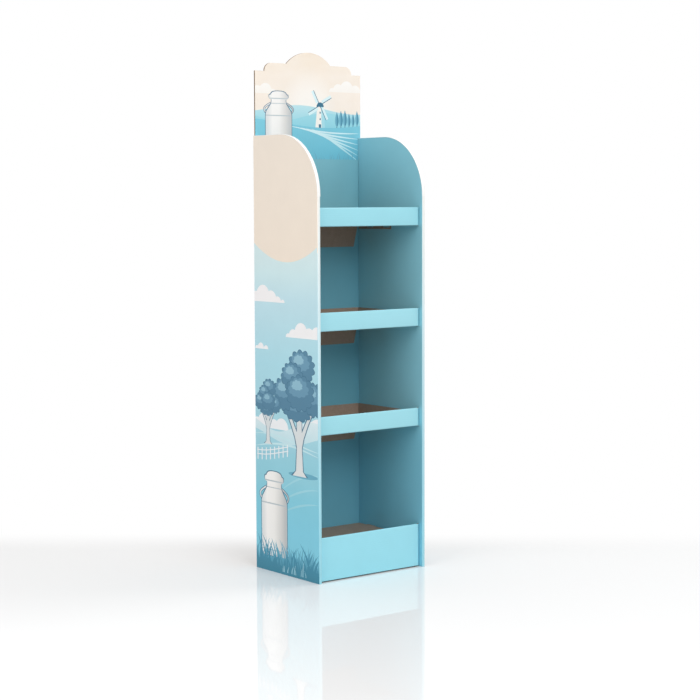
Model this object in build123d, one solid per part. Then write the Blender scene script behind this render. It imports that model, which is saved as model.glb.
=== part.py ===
from build123d import *
import os

# Overall size of the stand, in millimetres
width = 420.0
depth = 330.0
wall_height = 1360.0
header_height = 265.0

# Boards, and the gaps that let sheets slide together
board = 3.0
header_board = 5.0
strip_board = 1.0
fold_radius = 2.0
slide_gap = 0.3
ply_gap = 0.5

# Hollow side walls: one sheet folded round the front edge, with a quarter-round top front corner
wall_thickness = 11.0
corner_radius = 190.0

# Back panel flanges, tucked inside the hollow walls
flange_reach = 50.0

# Blue liner in front of the back panel; the header's tongue drops between the two
liner_height = 1290.0
tongue_depth = 140.0
tongue_corner = 25.0
header_inset = 2.0

# Header outline: low shoulders, a lobe beside each shoulder and a dome in the middle
shoulder_width = 36.0
lobe_radius = 26.0
dome_rise = 38.0
dome_half_width = 87.0

# Trays
tray_count = 3
lowest_tray = 450.0
tray_pitch = 315.0
lip_height = 57.0
lip_setback = 13.0
lip_corner = 8.0
return_length = 32.0
return_slant = 14.0
tray_wall_height = 45.0

# Kraft supports under the rear half of each tray
support_depth = 166.0
support_drop = 71.0
support_hem = 13.0
support_end_gap = 8.0
support_end_slant = 17.0

# Locking tabs, which pass through slots in the boards that carry them
tab_width = 36.0
tab_reach = 5.0
tab_margin = 4.0
rear_tab_x = 80.0
rear_tab_reach = 2.5

# Base
base_height = 137.0
base_floor_gap = 3.0
deck_drop = 40.0
deck_hem = 40.0
rib_offset = 95.0

# Places worked out from the sizes above
outer_x = width / 2
inner_x = outer_x - wall_thickness
front_y = -depth / 2
back_y = depth / 2
skin_top = wall_height - strip_board
corner_y = front_y + corner_radius
corner_z = wall_height - corner_radius
panel_front = back_y - board
pocket_front = panel_front - header_board - 2 * slide_gap
liner_front = pocket_front - board
lip_front = front_y + lip_setback
lip_thickness = 2 * board + ply_gap
bend_y = lip_front + lip_corner
tray_x = inner_x - ply_gap
tray_back = liner_front - slide_gap
tray_levels = [lowest_tray + tray_pitch * step for step in range(tray_count)]
deck_top = base_height - deck_drop
deck_x = tray_x - board - slide_gap
support_front = tray_back - support_depth
front_tab_y = bend_y + return_length + tab_margin + tab_width / 2
rear_tab_y = back_y - flange_reach - tab_margin - tab_width / 2
support_tab_ys = (support_front + tab_margin + tab_width / 2, rear_tab_y)
deck_tab_ys = (front_tab_y, rear_tab_y)
tray_names = ["lower", "middle", "upper"]


def block(x, y, z):
    """A flat panel between two limits along each axis."""
    size = [high - low for low, high in (x, y, z)]
    centre = [(high + low) / 2 for low, high in (x, y, z)]
    return Pos(*centre) * Box(*size)


def both_sides(shape):
    """A shape and its mirror image across the middle of the stand."""
    return shape + mirror(shape, Plane.YZ)


def folded_section(points, thickness):
    """Section of a folded sheet. The points run along its outer face, with the board to their left,
    and each fold is rounded outside and sharp inside."""
    line = [Vector(*point) for point in points]
    along = [(b - a).normalized() for a, b in zip(line, line[1:])]
    left = [Vector(-step.Y, step.X) for step in along]
    inner = [line[0] + left[0] * thickness]
    for corner, before, after in zip(line[1:-1], left, left[1:]):
        inner.append(corner + (before + after) * thickness)
    inner.append(line[-1] + left[-1] * thickness)
    face = make_face(Polyline(*line, *reversed(inner), close=True))
    folds = [v for v in face.vertices() if any((v.center() - c).length < 0.01 for c in line[1:-1])]
    return fillet(folds, min(fold_radius, 0.9 * thickness))


def folded_upright(points, z):
    """A folded sheet that stands upright, from its section seen from above."""
    low, high = z
    return Pos(0, 0, low) * extrude(folded_section(points, board), high - low)


def folded_across(points, half_width):
    """A folded sheet that runs across the stand, from its section seen from the right, as Y and Z."""
    section = Plane.YZ * folded_section(points, board)
    return extrude(section, half_width, both=True)


def side_outline(inset):
    """The wall above its straight front edge, seen from the right, with its quarter-round corner."""
    top = wall_height - inset
    straight = Polyline(
        (corner_y, top), (back_y, top), (back_y, corner_z), (front_y + inset, corner_z)
    )
    arc = CenterArc((corner_y, corner_z), corner_radius - inset, 90, 90)
    return Plane.YZ * make_face([straight, arc])


def tab_places():
    """The middle, along the wall, and the underside of every tab that locks into a side wall."""
    places = [(y, deck_top - board) for y in deck_tab_ys]
    for level in tray_levels:
        places.append((front_tab_y, level))
        places += [(y, level - board) for y in support_tab_ys]
    return places


def tab(y, underside, root_x):
    """One locking tab on the left and one on the right, reaching through the walls' inner skins."""
    ends = (root_x, inner_x + tab_reach)
    return both_sides(
        block(ends, (y - tab_width / 2, y + tab_width / 2), (underside, underside + board))
    )


def side_wall_right():
    """One sheet folded into a hollow wall: outer skin, narrow front face and inner skin."""
    path = [(inner_x, panel_front), (inner_x, front_y), (outer_x, front_y), (outer_x, back_y)]
    sheet = folded_upright(path, (0, skin_top))
    beside = (inner_x - 1, outer_x + 1)
    above = block(beside, (front_y - 1, back_y + 1), (corner_z, wall_height + 1))
    above -= Pos(inner_x - 1, 0, 0) * extrude(side_outline(strip_board), wall_thickness + 2)
    sheet -= above
    for y, underside in tab_places():
        half = tab_width / 2 + slide_gap
        sheet -= block(
            (inner_x - 1, inner_x + board + 1),
            (y - half, y + half),
            (underside - slide_gap, underside + board + slide_gap),
        )
    return sheet


def edge_strip_right():
    """White strip that closes the top edge and the round corner of a hollow wall."""
    band = side_outline(0) - side_outline(strip_board)
    return Pos(inner_x, 0, 0) * extrude(band, wall_thickness)


def back_panel():
    """Rear sheet between the outer skins, with a flange tucked into each hollow wall."""
    x = outer_x - board - slide_gap
    start = back_y - flange_reach
    return folded_upright([(x, start), (x, back_y), (-x, back_y), (-x, start)], (0, skin_top))


def back_liner():
    """Printed sheet in front of the back panel, held off it by a narrow return at each side."""
    x = inner_x - slide_gap
    path = [(-x, panel_front), (-x, liner_front), (x, liner_front), (x, panel_front)]
    sheet = folded_upright(path, (0, liner_height))
    for level in tray_levels:
        for side in (-1, 1):
            middle = side * rear_tab_x
            half = tab_width / 2 + slide_gap
            sheet -= block(
                (middle - half, middle + half),
                (liner_front - 1, pocket_front + 1),
                (level - board - slide_gap, level + slide_gap),
            )
    return sheet


def header_outline():
    """The header seen from the front, as X and Z: scalloped top, neck and tongue."""
    half = outer_x - header_inset
    neck = inner_x - ply_gap
    tongue = inner_x - slide_gap - board - ply_gap
    crown = wall_height + header_height
    lobe_top = crown - dome_rise
    shoulder = lobe_top - lobe_radius
    lobe_x = half - shoulder_width - lobe_radius
    foot = liner_height - tongue_depth
    step = liner_height + slide_gap
    right = [
        ThreePointArc((0, crown), dome_point(dome_half_width / 2), (dome_half_width, lobe_top)),
        Line((dome_half_width, lobe_top), (lobe_x, lobe_top)),
        CenterArc((lobe_x, shoulder), lobe_radius, 0, 90),
        Polyline(
            (lobe_x + lobe_radius, shoulder),
            (half, shoulder),
            (half, wall_height),
            (neck, wall_height),
            (neck, step),
            (tongue, step),
            (tongue, foot + tongue_corner),
            (tongue - tongue_corner, foot),
            (0, foot),
        ),
    ]
    left = [mirror(edge, Plane.YZ) for edge in right]
    return make_face(right + left)


def dome_point(x):
    """A point on the dome of the header at a distance from its middle."""
    radius = (dome_half_width**2 + dome_rise**2) / (2 * dome_rise)
    return (x, wall_height + header_height - radius + (radius**2 - x**2) ** 0.5)


def header_card():
    """Die-cut card that stands on the walls, with its tongue between the back panel and the liner."""
    rear = Plane.XZ.offset(-(panel_front - slide_gap))
    return extrude(rear * header_outline(), header_board)


def rounded_end(z):
    """The end of a tray's front on the right: a soft bend and a return that runs along the wall, with
    its top edge cut on a slant so that it stays out of sight behind the lip."""
    low, high = z
    bend_x = tray_x - lip_corner
    quarter = make_face(
        [
            CenterArc((bend_x, bend_y), lip_corner, 270, 90),
            Line((tray_x, bend_y), (tray_x - board, bend_y)),
            CenterArc((bend_x, bend_y), lip_corner - board, 270, 90),
            Line((bend_x, lip_front + board), (bend_x, lip_front)),
        ]
    )
    bend = Pos(0, 0, low) * extrude(quarter, high - low)
    end_y = bend_y + return_length
    side = make_face(
        Polyline((bend_y, low), (end_y, low), (end_y, high - return_slant), (bend_y, high), close=True)
    )
    return bend + Pos(tray_x - board, 0, 0) * extrude(Plane.YZ * side, board)


def tray(level):
    """One folded sheet: floor, front lip of two plies, sides and rear, with a locking tab a side."""
    floor_x = tray_x - board - slide_gap
    lip_back = lip_front + lip_thickness
    lip_top = level + lip_height
    lip = folded_across(
        [
            (bend_y, level),
            (lip_front, level),
            (lip_front, lip_top),
            (lip_back, lip_top),
            (lip_back, level + board + slide_gap),
        ][::-1],
        tray_x - lip_corner,
    )
    rear_top = level + tray_wall_height
    floor = folded_across([(bend_y, level), (tray_back, level), (tray_back, rear_top)], floor_x)
    side = block((floor_x - board, floor_x), (bend_y, tray_back), (level, rear_top))
    notch_half = tab_width / 2 + slide_gap
    side -= block(
        (floor_x - board - 1, floor_x + 1),
        (front_tab_y - notch_half, front_tab_y + notch_half),
        (level + board, level + board + inner_x + tab_reach - floor_x),
    )
    ends = rounded_end((level, lip_top))
    return lip + floor + both_sides(side + ends) + tab(front_tab_y, level, floor_x)


def tray_support(level):
    """Plain kraft sheet under the rear of a tray: top, side hems, and a tapered flange that hangs
    against the liner, with tabs locked into the walls and the liner. Each side tab is cut from its
    hem and leaves a window there."""
    half = inner_x - slide_gap
    window = inner_x + tab_reach - half
    top = block((-half, half), (support_front, tray_back), (level - board, level))
    hem_z = (level - support_hem, level)
    hem = block((half - board, half), (support_front, tray_back - board), hem_z)
    for y in support_tab_ys:
        gap_half = tab_width / 2 + slide_gap
        hem -= block(
            (half - board - 1, half + 1),
            (y - gap_half, y + gap_half),
            (level - board - window, level - board),
        )
    upper = half - support_end_gap
    lower = upper - support_end_slant
    foot = level - support_drop
    flange_face = make_face(
        Polyline((-upper, level), (upper, level), (lower, foot), (-lower, foot), close=True)
    )
    flange = extrude(Plane.XZ.offset(-tray_back) * flange_face, board)
    rear_tab = block(
        (rear_tab_x - tab_width / 2, rear_tab_x + tab_width / 2),
        (tray_back, liner_front + board + rear_tab_reach),
        (level - board, level),
    )
    sheet = top + flange + both_sides(hem + rear_tab)
    for y in support_tab_ys:
        sheet += tab(y, level - board, half)
    return sheet


def base_front():
    """Plain front of the base: an outer ply rolled over its top edge, with rounded ends."""
    lip_back = lip_front + lip_thickness
    path = [
        (lip_front, base_floor_gap),
        (lip_front, base_height),
        (lip_back, base_height),
        (lip_back, deck_top + slide_gap),
    ]
    sheet = folded_across(path[::-1], tray_x - lip_corner)
    return sheet + both_sides(rounded_end((base_floor_gap, base_height)))


def base_deck():
    """Deck of the base: a sheet with a hem folded down on all four sides and two tabs a side, which
    leave windows in the hems that they are cut from."""
    front = lip_front + board + ply_gap
    hem_foot = deck_top - deck_hem
    path = [(front, hem_foot), (front, deck_top), (tray_back, deck_top), (tray_back, hem_foot)]
    sheet = folded_across(path[::-1], deck_x)
    corner = block((tray_x - lip_corner, deck_x + 1), (front - 1, bend_y), (0, deck_top + 1))
    sheet -= both_sides(corner)
    hem = block((deck_x - board, deck_x), (bend_y, tray_back - board), (hem_foot, deck_top))
    window = inner_x + tab_reach - deck_x
    for y in deck_tab_ys:
        gap_half = tab_width / 2 + slide_gap
        hem -= block(
            (deck_x - board - 1, deck_x + 1),
            (y - gap_half, y + gap_half),
            (deck_top - board - window, deck_top - board),
        )
    sheet += both_sides(hem)
    for y in deck_tab_ys:
        sheet += tab(y, deck_top - board, deck_x)
    return sheet


def base_rib_long():
    """Upright rib across the base, slotted from the top for the two cross ribs."""
    half = deck_x - board - slide_gap
    top = deck_top - board
    rib = block((-half, half), (-board / 2, board / 2), (0, top))
    slot = block(rib_slot(rib_offset), (-board, board), (top / 2, top + 1))
    return rib - both_sides(slot)


def base_rib_right():
    """Upright rib from front to back of the base, slotted from below over the long rib."""
    top = deck_top - board
    front = lip_front + 2 * board + ply_gap + slide_gap
    rear = tray_back - board - slide_gap
    x = (rib_offset - board / 2, rib_offset + board / 2)
    rib = block(x, (front, rear), (0, top))
    return rib - block((x[0] - 1, x[1] + 1), rib_slot(0), (-1, top / 2))


def rib_slot(middle):
    """The two sides of a half-lap slot that takes the other rib's board."""
    half = board / 2 + slide_gap / 2
    return (middle - half, middle + half)


pieces = {
    "side_wall_right": side_wall_right(),
    "edge_strip_right": edge_strip_right(),
    "base_rib_right": base_rib_right(),
    "back_panel": back_panel(),
    "back_liner": back_liner(),
    "header_card": header_card(),
    "base_front": base_front(),
    "base_deck": base_deck(),
    "base_rib_long": base_rib_long(),
}
for name in ("side_wall", "edge_strip", "base_rib"):
    pieces[name + "_left"] = mirror(pieces[name + "_right"], Plane.YZ)
for name, level in zip(tray_names, tray_levels):
    pieces["tray_" + name] = tray(level)
    pieces["tray_support_" + name] = tray_support(level)

os.makedirs("parts", exist_ok=True)
for name, piece in pieces.items():
    export_step(piece, "parts/" + name + ".step")
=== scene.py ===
import math
import random
from types import SimpleNamespace

import bmesh
import bpy
from mathutils import Matrix, Vector, geometry


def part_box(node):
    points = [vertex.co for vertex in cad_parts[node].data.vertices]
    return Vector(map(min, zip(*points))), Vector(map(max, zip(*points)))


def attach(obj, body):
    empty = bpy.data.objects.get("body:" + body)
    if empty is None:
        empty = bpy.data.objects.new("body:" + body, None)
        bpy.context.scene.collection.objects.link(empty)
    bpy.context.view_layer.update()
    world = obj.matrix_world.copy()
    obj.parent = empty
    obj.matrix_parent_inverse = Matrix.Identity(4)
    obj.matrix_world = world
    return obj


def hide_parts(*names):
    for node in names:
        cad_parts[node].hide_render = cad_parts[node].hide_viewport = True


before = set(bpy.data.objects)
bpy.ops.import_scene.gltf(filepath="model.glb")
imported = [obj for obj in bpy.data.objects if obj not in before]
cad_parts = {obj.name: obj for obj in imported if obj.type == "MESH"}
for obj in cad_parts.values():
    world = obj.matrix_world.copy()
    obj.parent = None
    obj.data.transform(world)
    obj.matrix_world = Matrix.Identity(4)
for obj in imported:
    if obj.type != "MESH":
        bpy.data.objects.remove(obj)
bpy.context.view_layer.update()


# Side walls
# Each wall is one sheet of corrugated board, printed on its outer face and folded twice round the
# front edge, so that it stands as a hollow wall with a printed skin on both sides. The inner skin
# is slotted for the locking tabs of the trays, the tray supports and the base deck.

board = 0.003
paper = 0.0004
fluting = 0.00025
flute_pitch = 0.0064
fold = 0.0033
slide_gap = 0.0003
tab_width = 0.036
tab_margin = 0.004
lip_corner = 0.008
return_length = 0.032

wall_low, wall_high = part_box("side_wall_right")
strip_low, strip_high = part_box("edge_strip_right")
deck_low, deck_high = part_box("base_deck")
panel_low, panel_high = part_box("back_panel")
tray_names = ["lower", "middle", "upper"]
tray_boxes = [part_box("tray_" + name) for name in tray_names]
support_boxes = [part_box("tray_support_" + name) for name in tray_names]

inner_x, outer_x = wall_low.x, wall_high.x
front_y, back_y = wall_low.y, wall_high.y
wall_top, corner_z = strip_high.z, strip_low.z
strip_board = wall_top - wall_high.z
corner_radius = wall_top - corner_z
corner_y = front_y + corner_radius
deck_top = deck_high.z
tray_levels = [low.z for low, high in tray_boxes]
bend_y = tray_boxes[0][0].y + lip_corner
front_tab_y = bend_y + return_length + tab_margin + tab_width / 2
rear_tab_y = panel_low.y - tab_margin - tab_width / 2
support_front = support_boxes[0][0].y
support_tab_ys = (support_front + tab_margin + tab_width / 2, rear_tab_y)
deck_tab_ys = (front_tab_y, rear_tab_y)
slot_half = tab_width / 2 + slide_gap


def upright(a, b, c):
    """Places a sheet whose folds run up the stand."""
    return (a, b, c)


def crosswise(a, b, c):
    """Places a sheet whose folds run from side to side."""
    return (c, a, b)


def lengthwise(a, b, c):
    """Places a sheet whose folds run from front to back."""
    return (a, c, b)


def folded_line(corners, radius=fold):
    """The outer face of a folded sheet seen along its folds, with the board to its left. It gives the
    length, the stretches that are folds, and the point and the inward direction at each stop."""
    corners = [Vector(corner) for corner in corners]
    heads = [(b - a).normalized() for a, b in zip(corners, corners[1:])]
    runs, folds, at, here = [], [], 0.0, corners[0]
    for k, head in enumerate(heads):
        turn, cut = 0.0, 0.0
        if k + 1 < len(heads):
            turn = math.acos(max(-1.0, min(1.0, head.dot(heads[k + 1]))))
            cut = radius * math.tan(turn / 2)
        end = corners[k + 1] - head * cut
        if (end - here).length > 1e-7:
            runs.append((at, here, head, False))
            at += (end - here).length
        if turn:
            runs.append((at, end, head, True))
            folds.append((at, at + radius * turn))
            at += radius * turn
            here = corners[k + 1] + heads[k + 1] * cut

    def spot(stop):
        start, origin, head, bent = next((r for r in reversed(runs) if r[0] <= stop + 1e-9), runs[0])
        left = Vector((-head.y, head.x))
        if not bent:
            return origin + head * (stop - start), left
        turned = Matrix.Rotation((stop - start) / radius, 2) @ left
        return origin + left * radius - turned * radius, turned

    widest_step, widest_turn = 0.005, math.radians(15)
    fold_step = min(radius * widest_turn, widest_step)
    return SimpleNamespace(length=at, folds=folds, spot=spot, fold_step=fold_step)


def stops_along(line, marks, step):
    """Where the mesh of a sheet has its lines of points: at its ends, its folds and its marks, and
    between them no further apart than the step."""
    hard = {0.0, line.length, *marks, *(end for stretch in line.folds for end in stretch)}
    hard = sorted({round(stop, 6) for stop in hard if 0 <= stop <= line.length})
    stops = []
    for start, end in zip(hard, hard[1:]):
        bent = any(low < (start + end) / 2 < high for low, high in line.folds)
        count = max(1, math.ceil((end - start) / (min(step, line.fold_step) if bent else step) - 1e-6))
        stops += [start + (end - start) * k / count for k in range(count)]
    return stops + [hard[-1]]


def paper_solid(line, place, stops, rows, depths, looks, keep):
    """One paper as a closed thin solid. It follows the line from stop to stop and crosses it at its
    rows. The depths are those of its two faces below the outer face of the sheet."""
    table = [rows(stop) for stop in stops]
    spots = [line.spot(stop) for stop in stops]
    count = len(table[0]) - 1
    mask = []
    for i in range(len(stops) - 1):
        middle = (stops[i] + stops[i + 1]) / 2
        across = [(table[i][j] + table[i][j + 1] + table[i + 1][j] + table[i + 1][j + 1]) / 4
                  for j in range(count)]
        mask.append([keep(middle, c) for c in across])
    points, faces, marks, seen = [], [], [], {}

    def point(i, j, side):
        if (i, j, side) not in seen:
            seen[i, j, side] = len(points)
            spot, inward = spots[i]
            spot = spot + inward * depths[side](stops[i], table[i][j])
            points.append(place(spot.x, spot.y, table[i][j]))
        return seen[i, j, side]

    def kept(i, j):
        return 0 <= i < len(mask) and 0 <= j < count and mask[i][j]

    for i in range(len(mask)):
        for j in range(count):
            if not mask[i][j]:
                continue
            ring = [(i, j), (i + 1, j), (i + 1, j + 1), (i, j + 1)]
            beside = [(i, j - 1), (i + 1, j), (i, j + 1), (i - 1, j)]
            middle = (stops[i] + stops[i + 1]) / 2
            for side in (0, 1):
                faces.append([point(*corner, side) for corner in (ring, ring[::-1])[side]])
                marks.append(looks[side](middle) if callable(looks[side]) else looks[side])
            for a, b, other in zip(ring, ring[1:] + ring[:1], beside):
                if not kept(*other):
                    faces.append([point(*b, 0), point(*a, 0), point(*a, 1), point(*b, 1)])
                    marks.append("fluting")
    return points, faces, marks


def divided(places, counts):
    """The same places with more between them, as many in each gap as its count says."""
    more = []
    for start, end, count in zip(places, places[1:], counts):
        more += [start + (end - start) * k / count for k in range(count)]
    return more + [places[-1]]


def corrugated(line, place, rows, looks, marks=(), keep=None, outer_keep=None, flutes="across",
               top=0.0, thickness=board, pitch=flute_pitch, papers=(True, True)):
    """A folded corrugated sheet: a flat paper on each side and a waved one glued between them. The
    flutes run across the line or along it, and top is the depth at which the sheet starts."""
    keep = keep or (lambda stop, across: True)
    outer_keep = outer_keep or keep
    rows = rows if callable(rows) else (lambda stop, fixed=rows: fixed)
    bottom, glue, steps_a_flute = top + thickness, 0.00001, 6
    swing = (thickness - 2 * paper - fluting) / 2 - glue
    step = pitch / steps_a_flute

    def wave(offset):
        def depth(stop, across):
            way = stop if flutes == "across" else across
            return (top + bottom) / 2 + offset + swing * math.sin(2 * math.pi * way / pitch)
        return depth

    def flat(upper, lower):
        return (lambda stop, across: upper, lambda stop, across: lower)

    coarse = stops_along(line, marks, 1.0)
    fine, fine_rows = stops_along(line, marks, step), rows
    if flutes == "along":
        counts = [max(1, math.ceil((b - a) / step - 1e-6)) for a, b in zip(rows(0.0), rows(0.0)[1:])]
        fine, fine_rows = coarse, (lambda stop: divided(rows(stop), counts))
    solids = [paper_solid(line, place, fine, fine_rows, (wave(-fluting / 2), wave(fluting / 2)),
                          ("fluting", "fluting"), keep)]
    if papers[0]:
        solids.append(paper_solid(line, place, coarse, rows, flat(top, top + paper),
                                  (looks[0], "fluting"), outer_keep))
    if papers[1]:
        solids.append(paper_solid(line, place, coarse, rows, flat(bottom - paper, bottom),
                                  ("fluting", looks[1]), keep))
    return solids


def mirrored(solids):
    """The same solids on the other side of the stand."""
    return [([(-x, y, z) for x, y, z in points], faces, marks) for points, faces, marks in solids]


def both_sides(solids):
    """The same solids on the right and on the left."""
    return solids + mirrored(solids)


def anticlockwise(ring):
    """The same ring with its points in anticlockwise order."""
    area = sum(a[0] * b[1] - b[0] * a[1] for a, b in zip(ring, ring[1:] + ring[:1]))
    return ring if area > 0 else ring[::-1]


def printed_paper(outline, ground, shapes, place):
    """The printed paper of a flat panel as a closed thin solid. Its face is divided where one colour
    meets the next, and the last shape over a spot gives its colour."""
    corners, rings = [], []
    for ring in [outline] + [ring for ring, look in shapes]:
        rings.append(list(range(len(corners), len(corners) + len(ring))))
        corners += [Vector(corner) for corner in anticlockwise(ring)]
    flat, _, triangles, _, _, inside = geometry.delaunay_2d_cdt(corners, [], rings, 1, 1e-6, True)
    looks = [ground] + [look for ring, look in shapes]
    points = [place(p.x, p.y, depth) for depth in (0.0, paper) for p in flat]
    faces, marks, edges = [], [], {}
    for triangle, over in zip(triangles, inside):
        if 0 not in over:
            continue
        faces.append(list(triangle))
        marks.append(looks[max(over)])
        faces.append([k + len(flat) for k in reversed(triangle)])
        marks.append("fluting")
        for a, b in zip(triangle, triangle[1:] + triangle[:1]):
            edges[frozenset((a, b))] = None if frozenset((a, b)) in edges else (a, b)
    for a, b in filter(None, edges.values()):
        faces.append([b, a, a + len(flat), b + len(flat)])
        marks.append("fluting")
    return points, faces, marks


def ink(code):
    """A colour as it is seen, from its six-digit code."""
    seen = [int(code[k:k + 2], 16) / 255 for k in (0, 2, 4)]
    return [((c + 0.055) / 1.055) ** 2.4 if c > 0.04045 else c / 12.92 for c in seen] + [1.0]


def node(tree, kind, inputs, **settings):
    """Adds a node to a material and wires or sets its inputs."""
    made = tree.nodes.new(kind)
    for name, value in settings.items():
        setattr(made, name, value)
    for name, value in inputs.items():
        if isinstance(value, bpy.types.NodeSocket):
            tree.links.new(value, made.inputs[name])
        else:
            made.inputs[name].default_value = value
    return made


def start_material(name, roughness, specular):
    """A new material: its nodes, its shader and the place on the stand that it paints."""
    material = bpy.data.materials.new(name)
    material.use_nodes = True
    tree = material.node_tree
    shader = tree.nodes["Principled BSDF"]
    shader.inputs["Roughness"].default_value = roughness
    shader.inputs["Specular IOR Level"].default_value = specular
    here = tree.nodes.new("ShaderNodeTexCoord").outputs["Object"]
    return material, tree, shader, here


def maths(tree, operation, a, b=0.0):
    """One step of arithmetic on values."""
    return node(tree, "ShaderNodeMath", {0: a, 1: b}, operation=operation).outputs[0]


def spread(tree, value, low, high, start=0.0, end=1.0, blend="LINEAR"):
    """Turns a value that runs between two levels into one that runs between two others."""
    return node(tree, "ShaderNodeMapRange", {"Value": value, "From Min": low, "From Max": high,
                "To Min": start, "To Max": end}, interpolation_type=blend).outputs[0]


def noise(tree, here, scale, low, high, detail=3.0, stretch=None):
    """Soft random variation between two levels."""
    if stretch:
        here = node(tree, "ShaderNodeVectorMath", {0: here, 1: stretch}, operation="MULTIPLY").outputs[0]
    texture = node(tree, "ShaderNodeTexNoise", {"Vector": here, "Scale": scale, "Detail": detail})
    return spread(tree, texture.outputs["Fac"], 0.3, 0.7, low, high)


def paint(tree, shader, colour, level):
    """Gives the shader a colour made lighter or darker by a level."""
    toned = node(tree, "ShaderNodeVectorMath", {0: colour, "Scale": level}, operation="SCALE").outputs[0]
    tree.links.new(toned, shader.inputs["Base Color"])


def axis_of(tree, here, axis):
    """One coordinate of a place on the stand."""
    return node(tree, "ShaderNodeSeparateXYZ", {"Vector": here}).outputs[axis]


def fluted_bump(tree, shader, here, axis, grain, depth):
    """The faint ribs of the flutes showing through the paper, over its fine grain."""
    way = maths(tree, "MULTIPLY", axis_of(tree, here, axis), 2 * math.pi / flute_pitch)
    height = maths(tree, "ADD", grain, maths(tree, "SINE", way))
    bump = node(tree, "ShaderNodeBump", {"Height": height, "Strength": 1.0, "Distance": depth})
    tree.links.new(bump.outputs["Normal"], shader.inputs["Normal"])


def printed(look, ramp, axis="Z", flutes="Y", roughness=0.46):
    """Offset print under a satin varnish. The ramp gives its colour at places along an axis of the
    stand, and the ink has a faint mottle."""
    material, tree, shader, here = start_material(look.replace("_", " "), roughness, specular=0.35)
    low = min(ramp)
    high = max(*ramp, low + 0.001)
    share = spread(tree, axis_of(tree, here, axis), low, high)
    colours = node(tree, "ShaderNodeValToRGB", {"Fac": share})
    colours.color_ramp.elements.remove(colours.color_ramp.elements[1])
    for k, (place, code) in enumerate(ramp.items()):
        at = (place - low) / (high - low)
        stop = colours.color_ramp.elements.new(at) if k else colours.color_ramp.elements[0]
        stop.position = at
        stop.color = ink(code)
    mottle = noise(tree, here, 900.0, 0.985, 1.012)
    cloudy = noise(tree, here, 14.0, 0.985, 1.01)
    paint(tree, shader, colours.outputs["Color"], maths(tree, "MULTIPLY", mottle, cloudy))
    shader.inputs["Coat Weight"].default_value = 0.12
    shader.inputs["Coat Roughness"].default_value = 0.32
    fluted_bump(tree, shader, here, flutes, noise(tree, here, 1500.0, -0.25, 0.25), 0.00003)
    return material


def kraft(name, code, dark, flutes="Y", relief=0.00005):
    """Uncoated kraft paper: short crossing fibres, a few dark specks and a rough face."""
    material, tree, shader, here = start_material(name, roughness=0.88, specular=0.18)
    cloudy = noise(tree, here, 75.0, 0.0, 1.0, 5.0)
    colour = node(tree, "ShaderNodeMix", {"Factor": cloudy}, data_type="RGBA")
    colour.inputs[6].default_value, colour.inputs[7].default_value = ink(dark), ink(code)
    specks = node(tree, "ShaderNodeTexNoise", {"Vector": here, "Scale": 1100.0, "Detail": 2.0})
    tone = spread(tree, specks.outputs["Fac"], 0.66, 0.75, 1.0, 0.8)
    for stretch in ((0.12, 1.0, 1.0), (1.0, 0.12, 1.0), (1.0, 1.0, 0.12)):
        fibres = noise(tree, here, 620.0, 0.94, 1.05, 3.0, stretch)
        tone = maths(tree, "MULTIPLY", tone, fibres)
    paint(tree, shader, colour.outputs[2], tone)
    fluted_bump(tree, shader, here, flutes, noise(tree, here, 700.0, -0.6, 0.6, 5.0), relief)
    return material


def make_piece(name, solids):
    """Joins closed solids into one piece with the finishes that they name."""
    looks = sorted({look for _, _, marks in solids for look in marks})
    points, faces, marks = [], [], []
    for solid_points, solid_faces, solid_marks in solids:
        faces += [[len(points) + k for k in face] for face in solid_faces]
        points += solid_points
        marks += [looks.index(look) for look in solid_marks]
    mesh = bpy.data.meshes.new(name)
    mesh.from_pydata(points, [], faces)
    mesh.polygons.foreach_set("material_index", marks)
    for look in looks:
        mesh.materials.append(finish[look])
    work = bmesh.new()
    work.from_mesh(mesh)
    bmesh.ops.delete(work, geom=[v for v in work.verts if not v.link_faces], context="VERTS")
    bmesh.ops.recalc_face_normals(work, faces=work.faces)
    work.to_mesh(mesh)
    work.free()
    sharpest_smooth = math.radians(32)
    mesh.shade_smooth()
    mesh.set_sharp_from_angle(angle=sharpest_smooth)
    piece = bpy.data.objects.new(name, mesh)
    bpy.context.collection.objects.link(piece)
    return piece


def tab_places():
    """The middle and the underside of every tab that locks into a wall."""
    places = [(y, deck_top - board) for y in deck_tab_ys]
    for level in tray_levels:
        places.append((front_tab_y, level))
        places += [(y, level - board) for y in support_tab_ys]
    return places


def skin_top(y):
    """How high the wall's sheet reaches, under the strip that closes its edge."""
    inner = corner_radius - strip_board
    return corner_z + math.sqrt(max(0.0, inner**2 - min(0.0, y - corner_y) ** 2))


def shares(count):
    """Even steps from 0 to 1."""
    return [k / count for k in range(count + 1)]


def dome(x, base, radius, lift=0.0):
    """The part of a circle above a base line."""
    start = math.asin(-lift / radius)
    turns = [start + (math.pi - 2 * start) * t for t in shares(28)]
    return [(x + radius * math.cos(t), base + lift + radius * math.sin(t)) for t in turns]


def scalloped(x, z, wide, high, lobes, flat=1.0, turned=0.0):
    """A rounded mass with a scalloped edge, as of leaves. Its lower half may be flatter."""
    ring, count, notch = [], 10 * lobes, 0.16
    for k in range(count):
        turn = 2 * math.pi * k / count
        swell = 1 - notch + notch * abs(math.sin(lobes * turn / 2 + turned))
        rise = high * swell * math.sin(turn)
        ring.append((x + wide * swell * math.cos(turn), z + rise * (flat if rise < 0 else 1.0)))
    return ring


def oval(x, z, wide, high, count=36):
    """A round or oval outline, from its half width and half height."""
    turns = [2 * math.pi * k / count for k in range(count)]
    return [(x + wide * math.cos(t), z + high * math.sin(t)) for t in turns]


def tapered(x, foot, half, top_half, high):
    """An upright shape with straight sides, such as a post, a hoop or a tower."""
    return [(x - half, foot), (x + half, foot), (x + top_half, foot + high), (x - top_half, foot + high)]


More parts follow.
